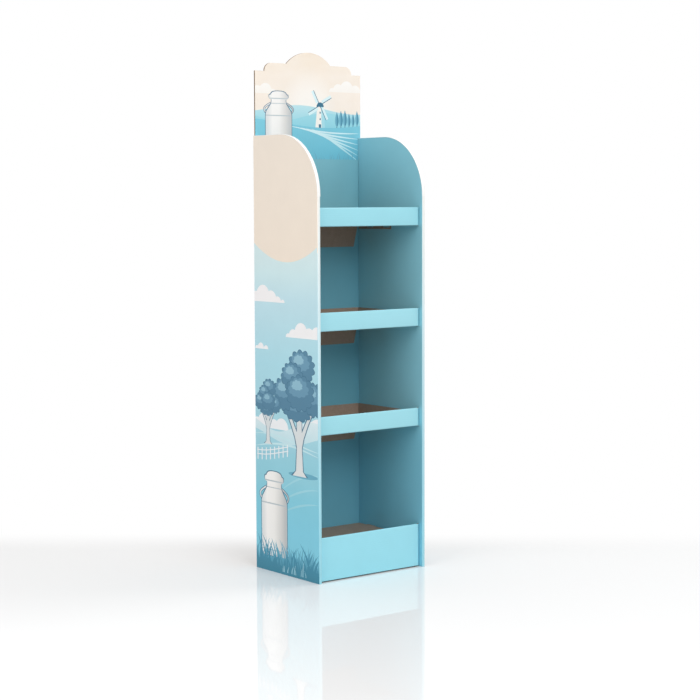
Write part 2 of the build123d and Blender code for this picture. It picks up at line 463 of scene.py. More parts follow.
def cloud(x, base, puffs, look):
    """A cloud with a flat underside. Each puff is its place along the cloud, its radius and its lift."""
    return [(dome(x + along, base, radius, lift), look) for along, radius, lift in puffs]


def rolling(level, swing, phase, pace):
    """The crest line of rolling ground."""
    return lambda a: level + swing * math.sin(phase + pace * a)


def land(width, crest, floor, start=0.0):
    """What lies between a crest line and a level."""
    steps = [start + width * t for t in shares(60)]
    return [(start, floor)] + [(a, crest(a)) for a in steps] + [(start + width, floor)]


def ribbon(spine, widths):
    """A band along a line, with one width or with a width for each of its points."""
    widths = widths if isinstance(widths, list) else [widths] * len(spine)
    left, right = [], []
    for k, (x, z) in enumerate(spine):
        before, after = spine[max(k - 1, 0)], spine[min(k + 1, len(spine) - 1)]
        way = Vector((after[0] - before[0], after[1] - before[1])).normalized()
        left.append((x - way.y * widths[k] / 2, z + way.x * widths[k] / 2))
        right.append((x + way.y * widths[k] / 2, z - way.x * widths[k] / 2))
    return left + right[::-1]


def furrow(spine, thin=0.001, swell=0.006, skew=1.0):
    """A line over the fields that swells between its thin ends."""
    return ribbon(spine, [thin + swell * math.sin(math.pi * t**skew) for t in shares(len(spine) - 1)])


def blade(a, foot, height, lean, width):
    """One blade of grass that bends over towards its tip."""
    return ribbon([(a + lean * t**2.2, foot + height * t) for t in shares(8)],
                  [width * (1.02 - t**1.6) for t in shares(8)])


def grass(start, end, count, foot, low, high, width, look, chance):
    """A row of blades, each a little out of line and leaning its own way."""
    shapes = []
    for k in range(count):
        a = start + (end - start) * (k + chance.random()) / count
        height = low + (high - low) * chance.random() ** 2
        lean = 0.55 * height * (2 * chance.random() - 1)
        shapes.append((blade(a, foot, height, lean, width * (0.7 + 0.6 * chance.random())), look))
    return shapes


def placed(shapes, x, foot, size):
    """Shapes drawn one unit high, at their size and place."""
    return [([(x + u * size, foot + v * size) for u, v in ring], look) for ring, look in shapes]


def leafy_tree(lobes):
    """A round tree: outlined clumps of leaves with paler tops on a pale forked trunk."""
    trunk = [(-0.09, 0.0), (-0.045, 0.04), (-0.034, 0.2), (-0.03, 0.46)]
    trunk += [(-u, v) for u, v in reversed(trunk)]
    limbs = [[(side * 0.16 * t**1.4, 0.2 + 0.3 * t) for t in (0, 0.35, 0.7, 1)] for side in (-1, 1)]
    limb_widths, rim = [0.07, 0.062, 0.052, 0.044], 0.007
    shapes = [(ribbon(limb, limb_widths), "ink_line") for limb in limbs]
    shapes.append(([(1.22 * u, v) for u, v in trunk], "ink_line"))
    shapes += [(ribbon(limb, [wide - 0.02 for wide in limb_widths]), "trunk") for limb in limbs]
    shapes.append((trunk, "trunk"))
    for u, v, wide, high in ((-0.02, 0.52, 0.2, 0.1), (0.03, 0.84, 0.17, 0.13), (-0.19, 0.62, 0.15, 0.13),
                             (0.19, 0.6, 0.14, 0.13), (-0.09, 0.76, 0.14, 0.11), (0.01, 0.64, 0.18, 0.14)):
        light_middle, pale_middle = (u - 0.1 * wide, v + 0.14 * high), (u - 0.2 * wide, v + 0.32 * high)
        shapes += [
            (scalloped(u, v, wide + rim, high + rim, lobes), "ink_line"),
            (scalloped(u, v, wide, high, lobes), "leaf"),
            (scalloped(*light_middle, 0.74 * wide, 0.72 * high, lobes - 2, 0.55, 0.5), "leaf_light"),
            (scalloped(*pale_middle, 0.4 * wide, 0.4 * high, lobes - 4, 0.45), "leaf_pale")]
    return shapes


def churn_outline(grow=0.0):
    """A milk churn from the side: straight body, sloping shoulder, neck and overhanging lid."""
    half = [(0.225, 0.0), (0.243, 0.008), (0.25, 0.03), (0.25, 0.62), (0.245, 0.65), (0.23, 0.685),
            (0.167, 0.765), (0.146, 0.795), (0.138, 0.83), (0.139, 0.86), (0.176, 0.872), (0.183, 0.888),
            (0.183, 0.918), (0.174, 0.931), (0.149, 0.938), (0.139, 0.957), (0.117, 0.974), (0.084, 0.984),
            (0.042, 0.989), (0.0, 0.99)]
    right = [(u + grow if u else 0.0, v + (grow if v > 0.5 else -grow)) for u, v in half]
    return right + [(-u, v) for u, v in reversed(right[:-1])]


def milk_churn(body):
    """A white churn with hoops, and a handle on each shoulder."""
    shapes = [(oval(0.06, 0.01, 0.34, 0.035), "ground_shade")]
    for side in (-1, 1):
        handle = [(side * (0.24 - 0.085 * t + 0.075 * math.sin(math.pi * t)), 0.65 + 0.15 * t)
                  for t in shares(12)]
        shapes += [(ribbon(handle, 0.036), "ink_line"), (ribbon(handle, 0.018), body)]
    shapes += [(churn_outline(0.01), "ink_line"), (churn_outline(), body)]
    for low, high, half in ((0.06, 0.075, 0.25), (0.605, 0.62, 0.25), (0.795, 0.805, 0.146),
                            (0.87, 0.885, 0.18)):
        shapes.append((tapered(0.0, low, half, half, high - low), "churn_hoop"))
    return shapes


def wall_print():
    """Print of a wall's outer skin, drawn from its rear edge and the floor: a bare cream plate over a
    sky with clouds, rolling fields, two trees, a fence, a churn and grass."""
    wide, below, hill_foot = back_y - front_y, -0.01, 0.3
    plate_foot, plate_rise, plate_middle = 0.971, 0.0536, 0.17
    meadow_line = rolling(0.372, 0.016, 3 + math.pi / 2, 13)
    chance = random.Random(5)
    shapes = [(land(wide, lambda a: plate_foot + plate_rise * (2 * (a - plate_middle) / wide) ** 2, wall_top),
               "plate")]
    shapes += cloud(0.0, 0.846, [(0.008, 0.03, 0.002), (0.045, 0.036, 0.016), (0.088, 0.03, 0.006),
                                 (0.123, 0.019, 0.0), (0.15, 0.01, 0.0)], "cloud")
    shapes += cloud(0.165, 0.742, [(0.012, 0.012, 0.0), (0.038, 0.022, 0.004), (0.078, 0.033, 0.014),
                                   (0.12, 0.027, 0.006), (0.158, 0.03, 0.008)], "cloud")
    shapes += cloud(0.012, 0.698, [(0.0, 0.01, 0.0), (0.02, 0.016, 0.003), (0.048, 0.012, 0.0)], "cloud")
    shapes += cloud(0.0, 0.452, [(0.01, 0.03, 0.0), (0.05, 0.042, 0.004), (0.1, 0.03, 0.0),
                                 (0.14, 0.036, 0.0), (0.29, 0.04, 0.0), (0.325, 0.05, 0.0)], "cloud")
    shapes.append((land(wide, rolling(0.468, 0.022, 9, 17), hill_foot), "far_hill"))
    shapes.append((land(wide, rolling(0.43, 0.02, 2.2, 14), hill_foot), "mid_hill"))
    for k in range(2):
        shapes.append((furrow([(wide * t, 0.39 + 0.026 * k + 0.018 * math.sin(3.4 * t + 0.9 * k))
                               for t in shares(16)]), "furrow"))
    shapes.append((land(wide, meadow_line, below), "meadow"))
    for k in range(3):
        shapes.append((furrow([(wide - 0.2 * t, 0.33 - 0.045 * k - (0.07 - 0.01 * k) * t**1.8)
                               for t in shares(16)]), "meadow_light"))
    for post in [0.012 + 0.0225 * k for k in range(8)]:
        shapes.append((tapered(post, meadow_line(post) - 0.008, 0.00225, 0.00225, 0.038), "cloud"))
    for lift in (0.009, 0.022):
        rail = [(a, meadow_line(a) + lift) for a in [0.008 + 0.166 * t for t in shares(12)]]
        shapes.append((ribbon(rail, 0.003), "cloud"))
    shapes.append((oval(0.25, 0.322, 0.075, 0.009), "ground_shade"))
    shapes += placed(leafy_tree(13), 0.232, 0.318, 0.4)
    shapes += placed(leafy_tree(11), 0.068, 0.402, 0.21)
    shapes += placed(milk_churn("churn"), 0.098, 0.05, 0.27)
    shapes.append((land(wide, rolling(0.046, 0.006, 4, 23), below), "grass_far"))
    shapes += grass(0.0, wide, 54, 0.035, 0.03, 0.075, 0.008, "grass_far", chance)
    shapes.append((land(wide, rolling(0.028, 0.006, 1, 19), below), "slate"))
    shapes += grass(0.0, wide, 40, 0.018, 0.03, 0.085, 0.009, "slate", chance)
    shapes += grass(0.004, 0.085, 6, 0.015, 0.085, 0.125, 0.011, "slate", chance)
    shapes += grass(0.262, wide - 0.012, 4, 0.015, 0.07, 0.11, 0.011, "slate", chance)
    shapes += grass(0.13, 0.27, 9, 0.008, 0.02, 0.055, 0.005, "grass_pale", chance)
    return shapes


finish = {
    "fluting": kraft("waved kraft paper", "AB9277", "A38A6E", relief=0.00003),
    "kraft": kraft("kraft liner", "AA9586", "A48F80"),
    "churn": printed("churn", {0.01: "C2C4C4", 0.03: "DAD9D6", 0.065: "F5F3EF", 0.105: "FAF8F5",
                               0.124: "E6E8E8"}, axis="Y"),
}
for look, ramp in {
    "inner_blue": {0.0: "82C8DE", 0.42: "87CADC", 0.5: "91CDDC", 1.0: "92CFDD", 1.1: "8AC6D5"},
    # Painted light: the front face's ramp is the side print made paler towards white, a painted highlight
    # where the front lamps fall.
    "front_edge": {0.0: "A0DFED", 0.12: "A3E0EE", 0.37: "AEDEEA", 0.66: "C8E7EE", 0.84: "D9EDF1",
                   1.02: "E9F1F0", 1.2: "F3F3EF"},
    "skin_edge": {0.02: "3E869E", 0.08: "7CC4D8", 0.36: "93CDDC", 0.41: "A6D5E1", 0.655: "B3DDE9",
                  0.856: "C2E0E8", 1.0: "CFE4E7", 1.004: "EFE1D1", 1.3: "EDE1D3"},
    "sky": {0.38: "A4D4E0", 0.655: "ABDAE6", 0.856: "BFDFE8", 0.94: "CDE6E9", 0.98: "D1E6E8"},
    "plate": {0.97: "EFE1D1", 1.36: "EDE1D3"},
    "cloud": {0.38: "EEF1F3", 0.9: "F4F1F1"},
    "far_hill": {0.42: "C5E3EA", 0.49: "DCECF0"},
    "mid_hill": {0.36: "93CBDB", 0.45: "A9D9E4"},
    "furrow": {0.02: "A8D6E2", 0.4: "C6E6EC"},
    "meadow": {0.0: "6AB4CB", 0.08: "82CDE1", 0.14: "82CEE3", 0.24: "84CCDE", 0.3: "90CEDD", 0.38: "97D0DE"},
    "meadow_light": {0.1: "8FCEDD", 0.35: "A3D8E4"},
    "ground_shade": {0.0: "5C9FB6", 0.4: "6BAEC4"},
    "grass_far": {0.0: "4A8FA6", 0.05: "5AA3BB", 0.1: "66AEC6"},
    "slate": {0.0: "3E869E", 0.1: "4592AE"},
    "grass_pale": {0.0: "8FC4D3", 0.08: "B7DDE6"},
    "ink_line": {0.0: "3F6F8A"},
    "leaf": {0.4: "4D7C97", 0.75: "5787A1"},
    "leaf_light": {0.4: "618FA9", 0.75: "6B9AB3"},
    "leaf_pale": {0.4: "83B0C5", 0.75: "93BFD0"},
    "trunk": {0.3: "E2E4E3", 0.55: "D3DADC"},
    "churn_hoop": {0.0: "B9C4C9"},
}.items():
    finish[look] = printed(look, ramp)

wall_line = folded_line([(inner_x, back_y - board), (inner_x, front_y), (outer_x, front_y),
                         (outer_x, back_y)])
outer_start = wall_line.folds[-1][1]
wall_slots = tab_places()
wall_rows = sorted({0.0} | {z + gap for _, z in wall_slots for gap in (-slide_gap, board + slide_gap)})
slot_marks = [back_y - board - y + side * slot_half for y, _ in wall_slots for side in (-1, 1)]
arc_ys = [corner_y - (corner_radius - strip_board) * math.sin(math.radians(2 * k)) for k in range(45)]
arc_ys = [y for y in arc_ys if y > front_y + fold]
arc_marks = [back_y - board - y for y in arc_ys]


def wall_kept(stop, z):
    """The slots are cut through the inner skin alone."""
    spot, _ = wall_line.spot(stop)
    if spot.x > inner_x + paper:
        return True
    return not any(abs(spot.y - y) < slot_half and low - slide_gap < z < low + board + slide_gap
                   for y, low in wall_slots)


def wall_look(stop):
    """The narrow front face has its own print, painted paler for the light on it, from half way round each
    fold.
    """
    if stop > sum(wall_line.folds[1]) / 2:
        return "skin_edge"
    return "front_edge" if stop > sum(wall_line.folds[0]) / 2 else "inner_blue"


wall_solids = corrugated(
    wall_line, upright, lambda stop: wall_rows + [skin_top(wall_line.spot(stop)[0].y)],
    (wall_look, "kraft"), slot_marks + arc_marks + [outer_start + y - front_y - fold for y in arc_ys],
    wall_kept,
    lambda stop, z: stop < outer_start and wall_kept(stop, z))
skin_ys = [back_y, *arc_ys, front_y + fold]
skin_outline = [(0.0, 0.0), (back_y - front_y - fold, 0.0)]
skin_outline += [(back_y - y, skin_top(y)) for y in reversed(skin_ys)]
wall_solids.append(printed_paper(skin_outline, "sky", wall_print(),
                                 lambda a, z, depth: (outer_x - depth, back_y - a, z)))
for side, solids in (("right", wall_solids), ("left", mirrored(wall_solids))):
    wall = make_piece("printed_wall_" + side, solids)
    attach(wall, "root")
    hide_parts("side_wall_" + side)


# Edge strips
# A strip of smooth white card, one millimetre thick, is glued over the open top edge of each wall
# and follows its quarter-round corner down to the straight front edge.

strip_line = folded_line([(back_y, wall_top), (front_y, wall_top), (front_y, corner_z)], corner_radius)
strip_width = [inner_x, outer_x]
strip_rim = 0.0003
finish["white_strip"] = printed("white_strip", {0.0: "F7F7F5"}, roughness=0.5)

points, faces, marks = paper_solid(
    strip_line, crosswise, stops_along(strip_line, [], 1.0), lambda stop: strip_width,
    (lambda stop, x: 0.0, lambda stop, x: strip_board), ("white_strip", "white_strip"), lambda stop, x: True)
strip_solids = [(points, faces, ["white_strip"] * len(marks))]
for side, solids in (("right", strip_solids), ("left", mirrored(strip_solids))):
    strip = make_piece("white_edge_" + side, solids)
    rounding = strip.modifiers.new("rounded rims", "BEVEL")
    rounding.width, rounding.segments, rounding.limit_method = strip_rim, 2, "ANGLE"
    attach(strip, "root")
    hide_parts("edge_strip_" + side)


# Back panel
# The rear of the stand is one plain kraft sheet with a flange folded forward at each side. The
# flanges are glued inside the hollow walls, and the header's card slips down in front of it.

back_top = panel_high.z
back_line = folded_line([(panel_high.x, panel_low.y), (panel_high.x, back_y), (panel_low.x, back_y),
                         (panel_low.x, panel_low.y)])
finish["kraft_back"] = kraft("kraft face of the back panel", "B2967C", "AC9076", flutes="X")

back = make_piece("kraft_back_panel",
                  corrugated(back_line, upright, [0.0, back_top], ("kraft_back", "kraft")))
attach(back, "root")
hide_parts("back_panel")


# Back liner
# A printed sheet lines the back of the bays. A narrow return at each side is glued to the back
# panel and holds it off, which leaves the pocket for the header's tongue.

liner_low, liner_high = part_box("back_liner")
liner_front = liner_low.y
rear_tab_x = 0.08
liner_line = folded_line([(liner_low.x, liner_high.y), (liner_low.x, liner_front),
                          (liner_high.x, liner_front), (liner_high.x, liner_high.y)])
liner_rows = sorted({0.0, liner_high.z} | {level + gap for level in tray_levels
                                          for gap in (-board - slide_gap, slide_gap)})
liner_start = liner_line.folds[0][1] - (liner_low.x + fold)
finish["liner_blue"] = printed("liner_blue", {0.0: "70B4C9", 1.0: "75B7CA", 1.15: "7FBBC9"}, flutes="X")


def liner_kept(stop, z):
    """The liner has two slots for each tray support."""
    spot, _ = liner_line.spot(stop)
    beside = abs(abs(spot.x) - rear_tab_x) < slot_half
    return not (beside and any(-board - slide_gap < z - level < slide_gap for level in tray_levels))


liner_marks = [liner_start + side * rear_tab_x + end * slot_half for side in (-1, 1) for end in (-1, 1)]
liner = make_piece("printed_back_liner", corrugated(liner_line, upright, liner_rows, ("liner_blue", "kraft"),
                                                    liner_marks, liner_kept))
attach(liner, "root")
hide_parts("back_liner")


# Header card
# The header is die-cut from double-wall board with its print on the front: a scalloped top, a neck
# between the walls, and a tongue that drops into the pocket behind the liner.

head_low, head_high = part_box("header_card")
head_half, head_crown = head_high.x, head_high.z
shoulder_width, lobe_radius = 0.036, 0.026
dome_rise, dome_half_width = 0.038, 0.087
tongue_corner = 0.025
ply_gap = 0.0005
neck_half = inner_x - ply_gap
tongue_half = inner_x - slide_gap - board - ply_gap
neck_foot = liner_high.z + slide_gap
lobe_top = head_crown - dome_rise
lobe_x = head_half - shoulder_width - lobe_radius
dome_radius = (dome_half_width**2 + dome_rise**2) / (2 * dome_rise)
wide_flute, fine_flute = 0.0030, 0.0020
fine_pitch = 0.0036


def head_top(x):
    """The scalloped top: a dome, two flats, two lobes and two shoulders."""
    x = abs(x)
    if x < dome_half_width:
        return head_crown - dome_radius + math.sqrt(dome_radius**2 - x**2)
    return lobe_top - lobe_radius + math.sqrt(max(0.0, lobe_radius**2 - max(0.0, x - lobe_x) ** 2))


def head_foot(x):
    """The foot of the tongue, with its corners cut off."""
    return head_low.z + max(0.0, min(abs(x), tongue_half) - (tongue_half - tongue_corner))


def head_kept(stop, z):
    """The card narrows to its neck between the walls, and below that to its tongue."""
    x = abs(stop - head_half)
    return x < tongue_half or (z > neck_foot and x < neck_half) or z > wall_top


def poplar(x, foot, height):
    """A slim pointed tree with a paler left side."""
    left = [(x - 0.14 * height * math.sin(math.pi * t**0.75), foot + height * (0.1 + 0.9 * t))
            for t in shares(14)]
    right = [(2 * x - px, pz) for px, pz in left]
    pale = [(x + 0.15 * (px - x), pz) for px, pz in left]
    return [(tapered(x, foot - 0.002, 0.0014, 0.0014, 0.002 + 0.2 * height), "head_dark"),
            (left + right[::-1], "head_tree"), (left + pale[::-1], "head_tree_light")]


def windmill():
    """A white tower mill with a dark cap and four sails."""
    half, top_half, high, hub = 0.17, 0.1, 0.6, Vector((-0.01, 0.64))
    shapes = [(tapered(0.0, 0.0, half, top_half, high), "head_cloud"),
              ([(0.05, 0.0), (half, 0.0), (top_half, high), (0.03, high)], "head_far"),
              (tapered(-0.01, 0.0, 0.04, 0.04, 0.12), "head_dark")]
    shapes += [(oval(0.0, lift, 0.022, 0.03), "head_dark") for lift in (0.26, 0.44)]
    shapes.append((dome(0.0, high, 0.125), "head_dark"))
    for turn in [math.radians(28 + 90 * k) for k in range(4)]:
        way = Vector((math.cos(turn), math.sin(turn)))
        root, tip, aside = hub + way * 0.1, hub + way * 0.46, Vector((-way.y, way.x)) * 0.085
        shapes.append(([root, tip, tip + aside, root + aside], "head_furrow"))
        shapes.append((ribbon([hub, tip], [0.024, 0.018]), "head_dark"))
    shapes.append((oval(hub.x, hub.y, 0.03, 0.03, 16), "head_dark"))
    return shapes


def header_print():
    """Print of the header: a cream sky over rolling land with furrows, a churn on the left, and a
    windmill and poplars on the right."""
    chance = random.Random(12)
    wide, start, below, stand = 2 * head_half, -head_half, head_low.z - 0.01, 0.003
    near_line = rolling(1.403, 0.013, 4.1, 9)
    shapes = cloud(-0.208, 1.492, [(0.01, 0.02, 0.004), (0.04, 0.024, 0.008), (0.068, 0.015, 0.0)],
                   "head_cloud")
    shapes += cloud(0.082, 1.505, [(0.012, 0.013, 0.0), (0.036, 0.02, 0.006), (0.07, 0.026, 0.01),
                                   (0.105, 0.02, 0.004), (0.128, 0.012, 0.0)], "head_cloud")
    shapes.append((land(wide, rolling(1.447, 0.012, 2.1, 14), below, start), "head_far"))
    shapes.append((land(wide, rolling(1.423, 0.014, 0.4, 17), below, start), "head_mid"))
    for x in [0.112 + 0.0165 * k for k in range(6)]:
        shapes += poplar(x, near_line(x) - stand, 0.045 + 0.02 * chance.random())
    shapes += placed(windmill(), 0.045, near_line(0.045) - stand, 0.115)
    shapes.append((land(wide, near_line, below, start), "head_near"))
    for k in range(6):
        spine = []
        for t in shares(18):
            x = 0.2 - (0.29 - 0.02 * k) * t
            spine.append((x, near_line(x) - 0.006 - 0.018 * (k + 1) * (1 - t)**1.3))
        shapes.append((furrow(spine, 0.0006, 0.0046, 0.8), "head_furrow"))
    shapes += placed(milk_churn("head_churn"), -0.118, 1.302, 0.2)
    shapes += grass(-0.205, 0.205, 34, 1.284, 0.014, 0.034, 0.0035, "head_tree_light", chance)
    return shapes


def header_sky():
    """Cream sky with a soft white glow over the land."""
    material = printed("head_sky", {1.40: "F2E6DA", 1.55: "F3E7D9", 1.63: "EEDFCC"}, flutes="X")
    tree = material.node_tree
    colour_in = tree.nodes["Principled BSDF"].inputs["Base Color"]
    here = next(n for n in tree.nodes if n.type == "TEX_COORD").outputs["Object"]
    away = node(tree, "ShaderNodeVectorMath", {0: here, 1: (0.0, head_low.y, 1.455)}, operation="DISTANCE")
    glow = spread(tree, away.outputs["Value"], 0.02, 0.15, 0.75, 0.0, "SMOOTHSTEP")
    wisps = noise(tree, here, 9.0, 0.0, 0.25, 3.0, (1.0, 1.0, 2.2))
    share = maths(tree, "MAXIMUM", glow, wisps)
    mixed = node(tree, "ShaderNodeMix", {"Factor": share}, data_type="RGBA")
    tree.links.new(colour_in.links[0].from_socket, mixed.inputs[6])
    mixed.inputs[7].default_value = ink("FBF8F4")
    tree.links.new(mixed.outputs[2], colour_in)
    return material


finish["head_sky"] = header_sky()
for look, ramp in {
    "head_cloud": {1.49: "F6F1EA", 1.54: "FBF8F4"},
    "head_far": {1.42: "A6DAE5", 1.46: "BDE3EA"},
    "head_mid": {1.38: "8DD0DF", 1.43: "9CD8E4"},
    "head_near": {1.28: "6DBED4", 1.41: "7CC8DB"},
    "head_furrow": {1.3: "B9E4EC", 1.4: "D9F0F4"},
    "head_tree": {1.3: "4C90AB"},
    "head_tree_light": {1.3: "6FB0C6"},
    "head_dark": {1.3: "35718C"},
}.items():
    finish[look] = printed(look, ramp, flutes="X")
finish["head_churn"] = printed("head_churn", {-0.161: "DFE1E1", -0.142: "F6F4F1", -0.115: "F3F1EE",
                                              -0.092: "DDDBD8", -0.075: "C6C8C8"}, axis="X", flutes="X")

head_line = folded_line([(-head_half, head_low.y), (head_half, head_low.y)])
head_xs = [head_half, neck_half, tongue_half, tongue_half - tongue_corner, lobe_x + lobe_radius, lobe_x]
head_xs += [lobe_x + lobe_radius * math.sin(math.radians(10 * k)) for k in range(1, 9)]
head_xs += [dome_half_width * t for t in shares(16)]
head_xs = sorted({round(side * x, 6) for x in head_xs for side in (-1, 1)})
head_marks = [head_half + x for x in head_xs]


def head_rows(stop):
    """Where the mesh is divided up the card: at its foot, at both steps and at its top."""
    x = stop - head_half
    return [head_foot(x), neck_foot, wall_top, head_top(x)]


head_solids = corrugated(head_line, upright, head_rows, ("head_sky", "kraft"), head_marks, head_kept,
                         thickness=wide_flute + paper, papers=(False, True))
head_solids += corrugated(head_line, upright, head_rows, ("kraft", "kraft_back"), head_marks, head_kept,
                          top=wide_flute, thickness=fine_flute, pitch=fine_pitch, papers=(False, True))
head_outline = [(x, head_top(x)) for x in reversed(head_xs)]
head_outline += [(-head_half, wall_top), (-neck_half, wall_top), (-neck_half, neck_foot),
                 (-tongue_half, neck_foot), (-tongue_half, head_low.z + tongue_corner),
                 (-tongue_half + tongue_corner, head_low.z)]
head_outline += [(-x, z) for x, z in reversed(head_outline[len(head_xs):])]
head_solids.append(printed_paper(head_outline, "head_sky", header_print(),
                                 lambda x, z, depth: (x, head_low.y + depth, z)))
header = make_piece("printed_header", head_solids)
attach(header, "root")
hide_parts("header_card")


# Trays
# Each tray is one sheet, printed light cyan outside and plain kraft inside. Its lip is rolled over
# into two plies. The outer ply turns round the corner and runs back along the wall, cut on a slant
# to stay behind the lip, and a tab at each side locks through the wall.

roll = 0.0032
tab_reach = 0.005
return_slant = 0.014
lip_front = tray_boxes[0][0].y
lip_height = tray_boxes[0][1].z - tray_levels[0]
lip_back = lip_front + 2 * board + ply_gap
tray_back = tray_boxes[0][1].y
tray_half = inner_x - ply_gap
tray_wall = 0.045
floor_half = tray_half - board - slide_gap
lip_half, flat_half = tray_half - lip_corner, floor_half - fold
tab_tip = inner_x + tab_reach
notch_height = tab_tip - floor_half
tray_faces = ("tray_cyan", "kraft")
# Cyan print; its few levels of change from tray to tray are painted light and shade, copying how the light
# fell on each lip.
finish["tray_cyan"] = printed("tray_cyan", {0.0: "A0E6F5", 0.14: "9FE3F2", 0.45: "A2E0EC", 0.8: "A4DFEB",
                                            1.12: "9CDBE8"}, flutes="Z")


def flat_tab(start, end, top, root, looks):
    """A locking tab on the right, cut from a floor or a deck and reaching through the wall."""
    return corrugated(folded_line([(start, top), (end, top)]), crosswise, [root, tab_tip], looks)


def rounded_end(low, high):
    """The outer ply of a front on the right: it turns round the corner and runs back along the wall,
    with its top edge cut on a slant."""
    line = folded_line([(tray_half - lip_corner, lip_front), (tray_half, lip_front),
                        (tray_half, bend_y + return_length)], lip_corner)
    bend_end = line.folds[0][1]

    def rows(stop):
        return [low, high - return_slant * max(0.0, stop - bend_end) / return_length]

    marks = [bend_end + return_length * k / 30 for k in range(30)]
    return corrugated(line, upright, rows, tray_faces, marks, flutes="along")


def tray(level):
    """One tray: lip, floor and rear in one strip, then the sides, rounded ends and tabs."""
    lip_top, rear_top = level + lip_height, level + tray_wall
    line = folded_line([(lip_back, level + board + slide_gap), (lip_back, lip_top), (lip_front, lip_top),
                        (lip_front, level), (tray_back, level), (tray_back, rear_top)], roll)
    floor_start = line.folds[2][1] + lip_corner - roll
    side = folded_line([(flat_half, level), (floor_half, level), (floor_half, rear_top)])
    notch_ys = (front_tab_y - slot_half, front_tab_y + slot_half)

    def kept(stop, x):
        return abs(x) < (flat_half if floor_start < stop else lip_half)

    def side_kept(stop, y):
        return not (notch_ys[0] < y < notch_ys[1] and side.spot(stop)[0].y < level + notch_height)

    solids = corrugated(line, crosswise, [-flat_half, -lip_half, lip_half, flat_half], tray_faces,
                        [floor_start], kept)
    notch_stop = side.length - (rear_top - level - notch_height)
    ends = corrugated(side, lengthwise, [bend_y, *notch_ys, tray_back - board], tray_faces,
                      [notch_stop], side_kept, flutes="along")
    ends += rounded_end(level, lip_top)
    ends += flat_tab(front_tab_y - tab_width / 2, front_tab_y + tab_width / 2, level, flat_half, tray_faces)
    return solids + both_sides(ends)


for name, level in zip(tray_names, tray_levels):
    piece = make_piece("folded_tray_" + name, tray(level))
    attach(piece, "root")
    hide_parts("tray_" + name)


# Tray supports
# A plain kraft sheet carries the rear half of each tray. Its side hems and its rear flange are
# folded down, and its tabs lock into both walls and into the back liner.

support_drop = tray_levels[0] - support_boxes[0][0].z
support_hem = 0.013
support_half = inner_x - slide_gap
flange_half, flange_slant = support_half - 0.008, 0.017
flange_edge = 0.0002
rear_tab_tip = support_boxes[0][1].y
plain = ("kraft", "kraft")


def tabbed_hem(half, foot, top, front, tab_ys):
    """The hem along the right side of a kraft sheet, from its front to its rear fold, and the locking
    tabs cut out of it."""
    line = folded_line([(half, foot), (half, top), (half - fold, top)])
    window = top - foot - board - (tab_tip - half)
    gaps = sorted(y + side * slot_half for y in tab_ys for side in (-1, 1))

    def kept(stop, y):
        return stop < window or not any(abs(y - tab_y) < slot_half for tab_y in tab_ys)

    solids = corrugated(line, lengthwise, [front, *gaps, tray_back - board], plain, [window], kept,
                        flutes="along")
    for y in tab_ys:
        solids += flat_tab(y + tab_width / 2, y - tab_width / 2, top, half - fold, plain)
    return solids


def tray_support(level):
    """One support: rear flange and top in one strip, then the hems and the tabs."""
    foot, sheet_half = level - support_drop, support_half - fold
    line = folded_line([(tray_back, foot), (tray_back, level), (support_front, level)])

    def rows(stop):
        z = line.spot(stop)[0].y
        reach = min(flange_half - flange_slant * (level - z) / support_drop, sheet_half - flange_edge)
        return [-sheet_half, -reach, reach, sheet_half]

    def kept(stop, x):
        return abs(x) < rows(stop)[2] or stop > line.folds[0][1]

    solids = corrugated(line, crosswise, rows, plain, [], kept)
    ends = tabbed_hem(support_half, level - support_hem, level, support_front, support_tab_ys)
    rear = folded_line([(rear_tab_tip, level), (tray_back + slide_gap, level)])
    ends += corrugated(rear, crosswise, [rear_tab_x - tab_width / 2, rear_tab_x + tab_width / 2], plain)
    return solids + both_sides(ends)


for name, level in zip(tray_names, tray_levels):
    piece = make_piece("kraft_support_" + name, tray_support(level))
    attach(piece, "root")
    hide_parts("tray_support_" + name)


# Base front
# The plain front of the base is a cyan sheet rolled over its top edge, with the same rounded ends
# as the trays. Its inner ply stands on the deck behind it.

front_low, front_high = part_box("base_front")
base_height, base_gap = front_high.z, front_low.z
front_line = folded_line([(lip_back, deck_top + slide_gap), (lip_back, base_height), (lip_front, base_height),
                          (lip_front, base_gap)], roll)
# Painted shadow: the lowest 0.9 mm of the front is a dark band standing in for the shade in the gap under the
# sheet.
foot_line = 0.0009
finish["foot_line"] = printed("foot_line", {0.0: "3A6878"}, flutes="Z")


def front_look(stop):
    """Cyan print, whose lowest strip is painted shadow: a dark band for the shade in the gap above the floor.
    """
    return "foot_line" if stop > front_line.length - foot_line else "tray_cyan"


front_solids = corrugated(front_line, crosswise, [-lip_half, lip_half], (front_look, "kraft"),
                          [front_line.length - foot_line])
front_solids += both_sides(rounded_end(base_gap, base_height))
front = make_piece("folded_base_front", front_solids)
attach(front, "root")
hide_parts("base_front")


# Base deck
# The lowest shelf is a kraft sheet with a hem folded down on all four sides, which reaches over the
# ends of the ribs below. It locks into the walls with two tabs a side.

deck_front, hem_foot = deck_low.y, deck_low.z
deck_line = folded_line([(tray_back, hem_foot), (tray_back, deck_top), (deck_front, deck_top),
                         (deck_front, hem_foot)])
clip_stop = deck_line.folds[0][1] + (tray_back - fold - bend_y)

deck_solids = corrugated(deck_line, crosswise, [-flat_half, -lip_half, lip_half, flat_half], plain,
                         [clip_stop], lambda stop, x: stop < clip_stop or abs(x) < lip_half)
deck_solids += both_sides(tabbed_hem(floor_half, hem_foot, deck_top, bend_y, deck_tab_ys))
deck = make_piece("kraft_base_deck", deck_solids)
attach(deck, "root")
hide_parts("base_deck")


# Base ribs
# Three upright kraft ribs carry the deck. The long one is slotted from the top and the two cross
# ribs from below, so that they half-lap together.

long_low, long_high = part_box("base_rib_long")
cross_low, cross_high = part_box("base_rib_right")
rib_x = (cross_low.x + cross_high.x) / 2
rib_top = long_high.z
lap_half = board / 2 + slide_gap / 2


